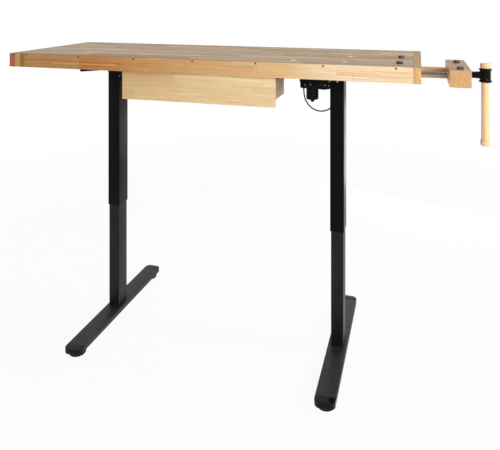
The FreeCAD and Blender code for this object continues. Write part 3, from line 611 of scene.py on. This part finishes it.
# the lower columns and the foot bars are the frame's black painted lighter, for the light the white floor
# throws up on them
FLOOR_LIT_LOWER_BLACK = powder_coat("lower column black", (22, 21, 21), 0.42, specular=0.14)
FLOOR_LIT_FOOT_BLACK = powder_coat("foot black", (34, 34, 35), 0.46, peel=0.2, specular=0.2)
CAST_BLACK = powder_coat("cast black", (4, 4, 4), 0.12, peel=0.35, pitch=0.4, specular=0.09)
BLACK_PLASTIC = moulded("black plastic", (16, 16, 18), 0.45, specular=0.06)
GLOSSY_PLASTIC = moulded("glossy plastic", (9, 9, 10), 0.16, depth=0.08, specular=0.14)
DOG_GREY = moulded("dog grey", (66, 60, 62), 0.42, specular=0.25)
SHEATH = moulded("cable sheath", (14, 14, 15), 0.5, pitch=1.1, specular=0.06)
BRIGHT_STEEL = steel("bright steel", (138, 149, 152), 0.24)
SPINDLE_STEEL = steel("spindle steel", (150, 152, 156), 0.35, axis=2)


# ------------------------------------------------------------- the cable

# the same route as the cable's solid: (x, y, depth below the worktop) on the bench
CABLE_ROUTE = [
    (341, 280, 131), (341, 280, 150), (347, 285, 178), (364, 293, 204), (390, 307, 220), (417, 328, 222),
    (440, 350, 210), (455, 366, 187), (461, 373, 158), (457, 376, 129), (444, 381, 103), (423, 389, 82),
    (396, 398, 66), (367, 407, 54), (337, 414, 46), (306, 420, 41), (282, 423, 37), (260, 423, 37),
]
CABLE_LENGTH, CABLE_DIAMETER = 0.5055, 0.005


def motor_cable(gland):
    """A round flex on one smooth spline, whose control points are the route's."""
    curve = bpy.data.curves.new("motor_flex", "CURVE")
    curve.dimensions = "3D"
    line = curve.splines.new("NURBS")
    line.points.add(len(CABLE_ROUTE) - 1)
    for point, place in zip(line.points, CABLE_ROUTE):
        point.co = (*at(*place), 1.0)
    line.order_u = 3
    line.use_endpoint_u = True
    line.resolution_u = 12
    curve.bevel_depth = CABLE_DIAMETER / 2
    curve.bevel_resolution = 5
    curve.use_fill_caps = True
    curve.materials.append(SHEATH)
    flex = bpy.data.objects.new("motor_flex", curve)
    bpy.context.scene.collection.objects.link(flex)
    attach(flex, "bench")
    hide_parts("motor_cable")
    at(*CABLE_ROUTE[0])


# ------------------------------------------------------- frame and its feet

LEG_X, LEG_Y = 470.0, 298.0
HANDS = (("left", -1), ("right", 1))


def metres(outline):
    """An outline given on the bench in millimetres, in plan."""
    return (outline - (BENCH_X, BENCH_Y)) * MM


def columns():
    """Both telescoping columns, each a tube with rolled corners and a wall of 1.5 mm."""
    for hand, side in HANDS:
        for part, wide, deep, corner, low, high, body, finish in (
                ("outer", 52, 72, 3.0, 462, 1030, "bench", FRAME_BLACK),
                ("inner", 46, 66, 2.5, 34, 620, hand + "_base", FLOOR_LIT_LOWER_BLACK)):
            x = side * LEG_X
            plan = metres(rounded(x - wide / 2, x + wide / 2, LEG_Y - deep / 2, LEG_Y + deep / 2, corner, 7))
            wall = 1.5 * MM
            outside = rims(low * MM, high * MM, 0.4 * MM, steps=2)
            tube = slab(plan, outside + [(wall, high * MM), (wall, low * MM)], wrap=True)
            piece(f"{hand}_{part}_column", [tube], finish, body,
                  [f"{hand}_{part}_tube"])


def arms():
    """Each side arm is a pressed channel, open below. Its section is a U whose flanges go down in straight
    lines from the tip's depth to the leg's, the right-hand flange less deep at the tip."""
    top, wall, half_width, outwards = z_at(52), 2.5 * MM, 30, 22
    for hand, side, root in (("left", -1, 37.0), ("right", 1, 32.0)):
        middle = side * (LEG_X + outwards)
        left, right = x_at(middle - half_width), x_at(middle + half_width)

        def section(one, other):
            one, other = top - one * MM, top - other * MM
            return ease([(left, one), (left, top, 4 * MM), (right, top, 4 * MM), (right, other),
                         (right - wall, other), (right - wall, top - wall, 1.5 * MM),
                         (left + wall, top - wall, 1.5 * MM), (left + wall, one)], True, 4)

        # the distance from the leg's middle, and the depths of both flanges there
        half = [(198, 20.5, 6), (194, 24.5, 8), (66, root, 32)]
        stations = [(-y, *depths) for y, *depths in half] + [(y, *depths) for y, *depths in half[::-1]]
        stations = [(y_at(LEG_Y + y), *depths) for y, *depths in stations]
        piece(hand + "_side_arm", [changing(stations, section, "y")], FRAME_BLACK, "bench",
              [hand + "_arm"])


def head_plates():
    """Each head bracket is a plate with a lip turned down along its front and back; its section is a wide
    U, and towards the outer end the lips run out at a slant."""
    top, thick, wall, half_depth = z_at(84), 4 * MM, 3 * MM, 60
    front, back = y_at(LEG_Y - half_depth), y_at(LEG_Y + half_depth)
    # the distance outwards from the leg's middle, and the lips' depth there
    lips = (26, 4.6), (13, 4.6), (7, 16), (-136.5, 16)

    def section(lip):
        low = top - lip * MM
        return ease([(front, low), (front, top, 3 * MM), (back, top, 3 * MM), (back, low),
                     (back - wall, low), (back - wall, top - thick, 0.05 * MM),
                     (front + wall, top - thick, 0.05 * MM), (front + wall, low)], True, 4)

    for hand, side in HANDS:
        stations = [(x_at(side * (LEG_X + outwards)), lip) for outwards, lip in lips]
        piece(hand + "_head_plate", [changing(stations, section, "x")], FRAME_BLACK, "bench",
              [hand + "_head_bracket"])


def feet():
    """Each foot is a flat bar with rolled edges and a moulded cap at each end, over two levelling pads."""
    low, high, round_edge, half_width = 14 * MM, 34 * MM, 2.5 * MM, 35
    front, back, cap, corner = 2.0, 594.0, 34.0, 21.0
    for hand, side in HANDS:
        x0, x1 = side * LEG_X - half_width, side * LEG_X + half_width
        bar = slab(rounded(x_at(x0), x_at(x1), low, high, round_edge, 6),
                   [(0, y_at(front)), (0, y_at(back))], "y")
        piece(hand + "_foot_bar", [bar], FLOOR_LIT_FOOT_BLACK, hand + "_base", [hand + "_foot"])
        caps = []
        for joint, way in ((front, -1), (back, 1)):
            end = joint + way * cap
            plan = metres(ease([(x0, joint), (x0, end, corner), (x1, end, corner), (x1, joint)], True, 10))
            # the cap's edge is rolled all round, but against the bar only a little
            pull = np.ones_like(plan)
            at_joint = np.abs(plan[:, 1] - y_at(joint)) < 1e-6
            pull[at_joint, 1] = 0.16
            caps.append(slab(plan, rims(low, high, round_edge, steps=6), pull=pull))
        piece(hand + "_foot_ends", caps, GLOSSY_PLASTIC, hand + "_base",
              [hand + "_foot_caps"])
        for end, y in (("front", 10.0), ("back", 586.0)):
            pad_and_stud(hand, end, side * LEG_X, y)


def pad_and_stud(hand, end, x, y):
    """A levelling pad on its stud: a disc under a collar, whose edge is fluted,
    r (1 - deep (0.5 + 0.5 cos(48 a)))."""
    profile = ease([(0, 0), (29.6, 0, 0.8), (31.0, 1.6, 1.0), (31.0, 6.6, 2.2), (28.4, 10.2, 2.0),
                    (20, 11.4), (13, 12.0, 0.8), (12.0, 12.4, 0.4), (12.0, 13.7), (5, 13.7),
                    (5, 28.2, 0.5), (4.2, 29), (0, 29)], steps=4) * MM

    def flutes(r, h, a):
        deep = 0.008 * smooth_step(r, 30 * MM, 30.8 * MM)
        return r * (1 - deep * (0.5 + 0.5 * np.cos(48 * a))), h

    turned = lathe(profile, at(x, y, BENCH_TOP), steps=192, shape=flutes)
    piece(f"{hand}_{end}_levelling_pad", [turned], BLACK_PLASTIC, f"{hand}_{end}_pad_body",
          [f"{hand}_{end}_pad"])


# the front and back faces of the gear housings
HOUSING_FRONT, HOUSING_BACK = 258, 338


def drives():
    """The gear housings in two halves, and the motors under them."""
    front, back = y_at(HOUSING_FRONT), y_at(HOUSING_BACK)
    seam = (0.5 * (front + back), 0.9 * MM, 1.6 * MM)
    for hand, side in HANDS:
        # seen from the front, from the column's middle inwards and from the head plate down
        x, z = x_at(side * LEG_X), z_at(88)
        outline = np.concatenate([[(26, 0)], arc_through((26, -36.5), (52, -40.7), (75, -37.95), 12),
                                  ease([(76, -37.95), (139, -37.95, 5.5), (139, 0)], steps=6)[1:]])
        section = np.array([(x, z)]) + np.array([(-side * MM, MM)]) * outline
        housing = slab(section, rims(front, back, 2.2 * MM, [seam], 5), "y")
        piece(hand + "_gear_case", [housing], BLACK_PLASTIC, "bench",
              [hand + "_gear_housing"])
        motor(hand, side)


def motor(hand, side):
    """A can with two flats, r = min(r, half_flat / |cos a|), and its moulded end with two lugs and a
    bearing boss."""
    x, half_flat, flat_down_to = side * 371, 21.4 * MM, -33 * MM
    centre = at(x, LEG_Y, 126)

    def flats(r, h, a):
        flat = half_flat / np.maximum(np.abs(np.cos(a)), 0.3)
        return np.where(h > flat_down_to, np.minimum(r, flat), r), h

    can = lathe(ease([(0, 0), (23.4, 0), (23.4, -35.2, 0.6), (22.6, -35.6), (0, -35.6)]) * MM, centre,
                steps=96, shape=flats)
    end = lathe(ease([(0, -35.4), (22.9, -35.4), (23.3, -36, 0.3), (23.3, -46.9, 5.0), (9.4, -46.9, 1.5),
                      (8.6, -50.5, 1.5), (4.4, -57.3, 1.8), (0, -57.3)], steps=6) * MM, centre, steps=96)
    lug_low, lug_high, lug_y = z_at(171), z_at(163), LEG_Y - 14.4
    lugs = [slab(metres(rounded(lug_x - 2.6, lug_x + 2.6, lug_y - 2.4, lug_y + 2.4, 1.4)),
                 rims(lug_low, lug_high, 0.9 * MM)) for lug_x in (x - 17, x + 17)]
    piece(hand + "_motor_can", [can, end, *lugs], BLACK_PLASTIC, "bench", [hand + "_motor"])


def fixings():
    """The cross-headed screws of the gear housings and the hexagon bolts of the head brackets."""
    screws, bolts = [], []
    # how far inwards from the leg's middle the screws are, and how far below the worktop
    screw_places = (30, 112), (45, 111), (99.5, 111), (120, 112)
    for side in (-1, 1):
        for inwards_by, d in screw_places:
            place = at(side * (LEG_X - inwards_by), HOUSING_FRONT, d)
            screws.append(cross_screw(place, (0, -1, 0), 3.2 * MM, 1.75 * MM))
        # one bolt through each head plate's lip, at the back on the left and at the front on the right
        bolt = at(side * (LEG_X + 5.5), LEG_Y - side * 60, 91.5)
        bolts.append(hex_bolt(bolt, (0, -side, 0), 7.4 * MM, 3.9 * MM))
    piece("housing_screw_heads", screws, BRIGHT_STEEL, "bench", ["housing_screws"])
    piece("bracket_bolt_heads", bolts, BRIGHT_STEEL, "bench", ["bracket_bolts"])


def control_case():
    """The control box: a moulded case with a seam round its middle."""
    low, high = z_at(54), z_at(20)
    left, right, front, back = 60, 260, 385, 465
    plan = metres(rounded(left, right, front, back, 3.0, 6))
    seam = (low + 13 * MM, 0.7 * MM, 1.2 * MM)
    piece("control_case", [slab(plan, rims(low, high, 1.6 * MM, [seam]))], BLACK_PLASTIC, "bench",
          ["control_box"])


def cable_gland():
    """A ribbed collar that tapers to the cable."""
    x, y, d = CABLE_ROUTE[0]
    length = 5
    profile = ease([(0, 0), (4.3, 0), (4.3, -1.2, 0.3), (3.7, -1.5), (4.0, -2.2), (3.4, -2.6), (3.8, -3.3),
                    (3.2, -3.7), (3.5, -4.4, 0.2), (2.9, -length, 0.2), (0, -length)], steps=3) * MM
    return piece("gland", [lathe(profile, at(x, y, d - length), steps=40)], BLACK_PLASTIC, "bench",
                 ["cable_gland"])


# ---------------------------------------------------------- drawer and vise

def drawer_face():
    """The drawer's front board, its face edges rounded over and its back square."""
    left, right, low, high = x_at(-292), x_at(292), z_at(158), z_at(54)
    face, back = y_at(28), y_at(46)
    stations = rims(face, back, 0.9 * MM, steps=4)[:5] + [(0.3 * MM, back)]
    piece("drawer_face", [slab(rounded(left, right, low, high, 1.2 * MM, 3), stations, "y")], DRAWER_WOOD,
          "drawer", ["drawer_front"])


# the middle of the vise's screw, and of the spool at its end
SCREW_Y, SCREW_DEPTH, SPOOL_X = 180, 40, 974


def vise():
    """The vise's screw, the cast spool on its end, and the handle that slides through the spool."""
    start, along = at(654, SCREW_Y, SCREW_DEPTH), (1, 0, 0)
    profile = ease([(0, 201.5), (6, 201.5), (6, 202.5), (11.9, 202.5, 0.4), (11.97, 209, 0.8),
                    (6, 209), (6, 266.8), (0, 266.8)]) * MM
    bar = lathe(profile, start, along, steps=64)
    piece("threaded_bar", [thread(start, along, 202 * MM, 6 * MM, 1.1 * MM, 3 * MM, 6 * MM), bar],
          BRIGHT_STEEL, "screw", ["vise_screw"])

    rim, waist, bore, half = 20.5, 17.0, 13.05, 22.5
    outside = [(rim, half, 1.6), (rim, half - 5.2, 1.4), (waist + 0.8, half - 6.6, 2.0),
               (waist, half - 12, 5.0)]
    loop = ([(bore, -half, 0.8)] + [(r, -h, e) for r, h, e in outside]
            + outside[::-1] + [(bore, half, 0.8)])
    spool = lathe(ease(loop, True, 6) * MM, at(SPOOL_X, SCREW_Y, SCREW_DEPTH), steps=128, wrap_rows=True)

    neck_x, sunk = 920.8, 15 * MM
    reach = (SPOOL_X - neck_x) * MM

    def saddle(r, h, a):
        """The neck's far end follows the spool's inside: h = reach - sqrt(sunk^2 - across^2)."""
        across = r * np.cos(a)
        return r, np.where(h > 30 * MM, reach - np.sqrt(sunk ** 2 - across ** 2), h)

    profile = ease([(0, 0), (11.9, 0, 0.4), (11.9, 3.2, 0.6), (11.0, 4.2, 1), (11.0, 20, 4),
                    (11.9, 29, 2), (11.9, 40), (0, 40)], steps=5) * MM
    neck = lathe(profile, at(neck_x, SCREW_Y, SCREW_DEPTH), along, steps=96, shape=saddle)
    piece("cast_spool", [spool, neck], CAST_BLACK, "screw", ["screw_hub"])

    # the handle's upper knob is one with the shaft, and the lower one is a piece of its own
    profile = ease([(0, 0), (14.2, 0, 1.5), (16.2, -1.6, 2.2), (16.2, -14.6, 1.8), (14.8, -17, 0.6),
                    (13, -17), (13, -252), (0, -252)], steps=6) * MM
    shaft = lathe(profile, at(SPOOL_X, SCREW_Y, 0.2), steps=96)
    piece("handle_shaft", [shaft], HANDLE_WOOD, "handle", ["handle_rod"])
    profile = ease([(0, 0), (13.6, 0, 0.8), (14.8, -0.8, 0.6), (15.0, -2.6, 0.5), (14.2, -3.4, 0.5),
                    (16.1, -5.0, 1.2), (16.2, -16.8, 3.4), (13.6, -21, 2.6), (0, -21)], steps=6) * MM
    knob = lathe(profile, at(SPOOL_X, SCREW_Y, 252.2), steps=96)
    piece("handle_knob", [knob], HANDLE_WOOD, "handle", ["handle_end_knob"])


def bench_dogs():
    """The four dogs: a shank under a wide head, on which a flat grips: r = min(r, grip / cos(a - its
    way))."""
    flat_from, grip = 2 * MM, 9.5 * MM
    profile = ease([(0, -38), (9.45, -38, 1.4), (9.45, -0.4), (9.0, 0), (11.9, 0, 0.4), (12, 1.9),
                    (12, 2.05), (12, 9, 1.5), (0, 9)], steps=5) * MM
    for name, x, y, d, toward in (
            ("bench_dog_front", 703, 80, 0, 1), ("bench_dog_rear", 703, 255, 0, 1),
            ("jaw_dog_front", 888, 80, JAW_DROP, -1), ("jaw_dog_rear", 888, 255, JAW_DROP, -1)):

        def flatten(r, h, a):
            facing = np.maximum(np.cos(a + toward * math.pi / 2), 0.05)
            return np.where(h > flat_from, np.minimum(r, grip / facing), r), h

        piece(name + "_turned", [lathe(profile, at(x, y, d), steps=128, shape=flatten)], DOG_GREY,
              name + "_body", [name])


# ----------------------------------------------------------- camera, light

# the world's light on the bench, and how white the floor is near it
WORLD_LIGHT, FLOOR_WHITE = 0.28, 0.93


def camera():
    """The lens looks level and is shifted far down, as for a shot with upright lines kept upright."""
    focus_px, width_px, height_px, sensor = 544.1, 500.0, 450.0, 36.0
    centre_px, horizon_px = 257.7, -3.9
    place, turned_left = (0.6471, -2.0625, 1.3403), math.radians(16.41)
    lens = bpy.data.cameras.new("camera")
    lens.lens, lens.sensor_width = focus_px / width_px * sensor, sensor
    lens.shift_x = (width_px / 2 - centre_px) / width_px
    lens.shift_y = (horizon_px - height_px / 2) / width_px
    made = bpy.data.objects.new("camera", lens)
    made.location = place
    made.rotation_euler = (math.pi / 2, 0, turned_left)
    bpy.context.scene.collection.objects.link(made)
    bpy.context.scene.camera = made


def lamp(name, place, target, width, height, power):
    """A soft box at a place that faces a target; places and sizes are in metres and the power in watts."""
    light = bpy.data.lights.new(name, "AREA")
    light.shape, light.size, light.size_y, light.energy = "RECTANGLE", width, height, power
    made = bpy.data.objects.new(name, light)
    made.location = place
    aim = np.array(target) - np.array(place)
    pan = math.atan2(aim[1], aim[0]) - math.pi / 2
    tilt = math.atan2(aim[2], math.hypot(aim[0], aim[1])) + math.pi / 2
    made.rotation_euler = (tilt, 0, pan)
    made.visible_camera = False
    bpy.context.scene.collection.objects.link(made)


def stage():
    """A pale floor under a white world. Seen straight, in a mirror or through glass both are mostly their
    own white, and the rest of the floor keeps the bench's shadow."""
    world = bpy.data.worlds.new("studio")
    world.use_nodes = True
    bpy.context.scene.world = world
    sky = Tree(world.node_tree)
    backdrop = world.node_tree.nodes["Background"].inputs
    sky.feed(backdrop["Color"], (1, 1, 1, 1))
    sky.feed(backdrop["Strength"], WORLD_LIGHT + (1 - WORLD_LIGHT) * sky.seen())

    floor = Finish("floor", Roughness=0.9, Specular_IOR_Level=0.0, Base_Color=(0.9, 0.9, 0.9, 1))
    x, y = floor.place()[:2]
    near, far = 1400.0, 3600.0
    away = (x * x + y * y).root().between(near, far)
    white = floor.node("Emission", inputs={"Color": (1, 1, 1, 1), "Strength": 1.0})
    share = floor.seen() * (FLOOR_WHITE + (1 - FLOOR_WHITE) * away)
    blend = floor.node("MixShader", inputs={
        0: share, 1: Term(floor, floor.shader.outputs[0]), 2: white})
    floor.feed(floor.tree.nodes["Material Output"].inputs["Surface"], blend)

    reach = 200.0
    corners = np.array([[(-reach, -reach, 0), (reach, -reach, 0)], [(-reach, reach, 0), (reach, reach, 0)]])
    points, faces = grid(corners, wrap_columns=False)
    mesh = bpy.data.meshes.new("floor")
    mesh.from_pydata(points.tolist(), [], faces)
    mesh.materials.append(floor.material)
    made = bpy.data.objects.new("floor", mesh)
    bpy.context.scene.collection.objects.link(made)


camera()
motor_cable(cable_gland())
stage()
lamp("key", (2.6, -3.4, 1.9), (0.1, 0, 0.8), 2.2, 1.8, 114)
lamp("fill", (-3.2, -2.2, 1.6), (-0.3, 0, 0.7), 1.8, 1.8, 14)
lamp("overhead", (0.2, 0.6, 4.0), (0, 0, 0.8), 2.6, 1.6, 28)
lamp("window", (4.3, 0.3, 2.3), (0.2, 0, 0.9), 0.3, 0.3, 85)
lamp("backlight", (0.55, 1.7, 0.36), (0.1, 0, 0.5), 1.1, 0.68, 3.6)


# ------------------------------------------------------- finishes of nodes

FINISHES = {
    TOP_WOOD: "front_board middle_board back_board",
    RAIL_WOOD: "front_rail rear_rail",
    CAP_WOOD: "right_end_cap left_spacer right_spacer",
    LEFT_CAP_WOOD: "left_end_cap",
    SHADED_SIDE_WOOD: "drawer_left_side drawer_right_side drawer_back drawer_bottom left_drawer_runner "
               "right_drawer_runner",
    DRAWER_WOOD: "drawer_front",
    JAW_WOOD: "jaw_block",
    BEAM_WOOD: "guide_beam",
    PLUG_WOOD: "rail_plugs",
    HANDLE_WOOD: "handle_rod handle_end_knob",
    FRAME_BLACK: "left_arm right_arm crossbars left_head_bracket right_head_bracket left_foot right_foot "
                 "left_outer_tube right_outer_tube left_inner_tube right_inner_tube beam_keeper",
    CAST_BLACK: "screw_hub",
    BLACK_PLASTIC: "column_glides control_box cable_gland left_gear_housing right_gear_housing left_motor "
                   "right_motor left_front_pad left_back_pad right_front_pad right_back_pad",
    GLOSSY_PLASTIC: "left_foot_caps right_foot_caps",
    DOG_GREY: "bench_dog_front bench_dog_rear jaw_dog_front jaw_dog_rear",
    BRIGHT_STEEL: "vise_screw vise_nut housing_screws bracket_bolts left_spindle_nut right_spindle_nut",
    SPINDLE_STEEL: "left_spindle right_spindle",
}


def finish_nodes():
    """Give every solid of the frame its finish, also where a piece of the scene stands in for it."""
    for material, names in FINISHES.items():
        for name in names.split():
            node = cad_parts[name]
            if not node.material_slots:
                node.data.materials.append(material)
            for slot in node.material_slots:
                slot.material = material


finish_nodes()
columns()
arms()
head_plates()
feet()
drives()
fixings()
control_case()
drawer_face()
vise()
bench_dogs()

bpy.context.scene.view_settings.view_transform = "Standard"
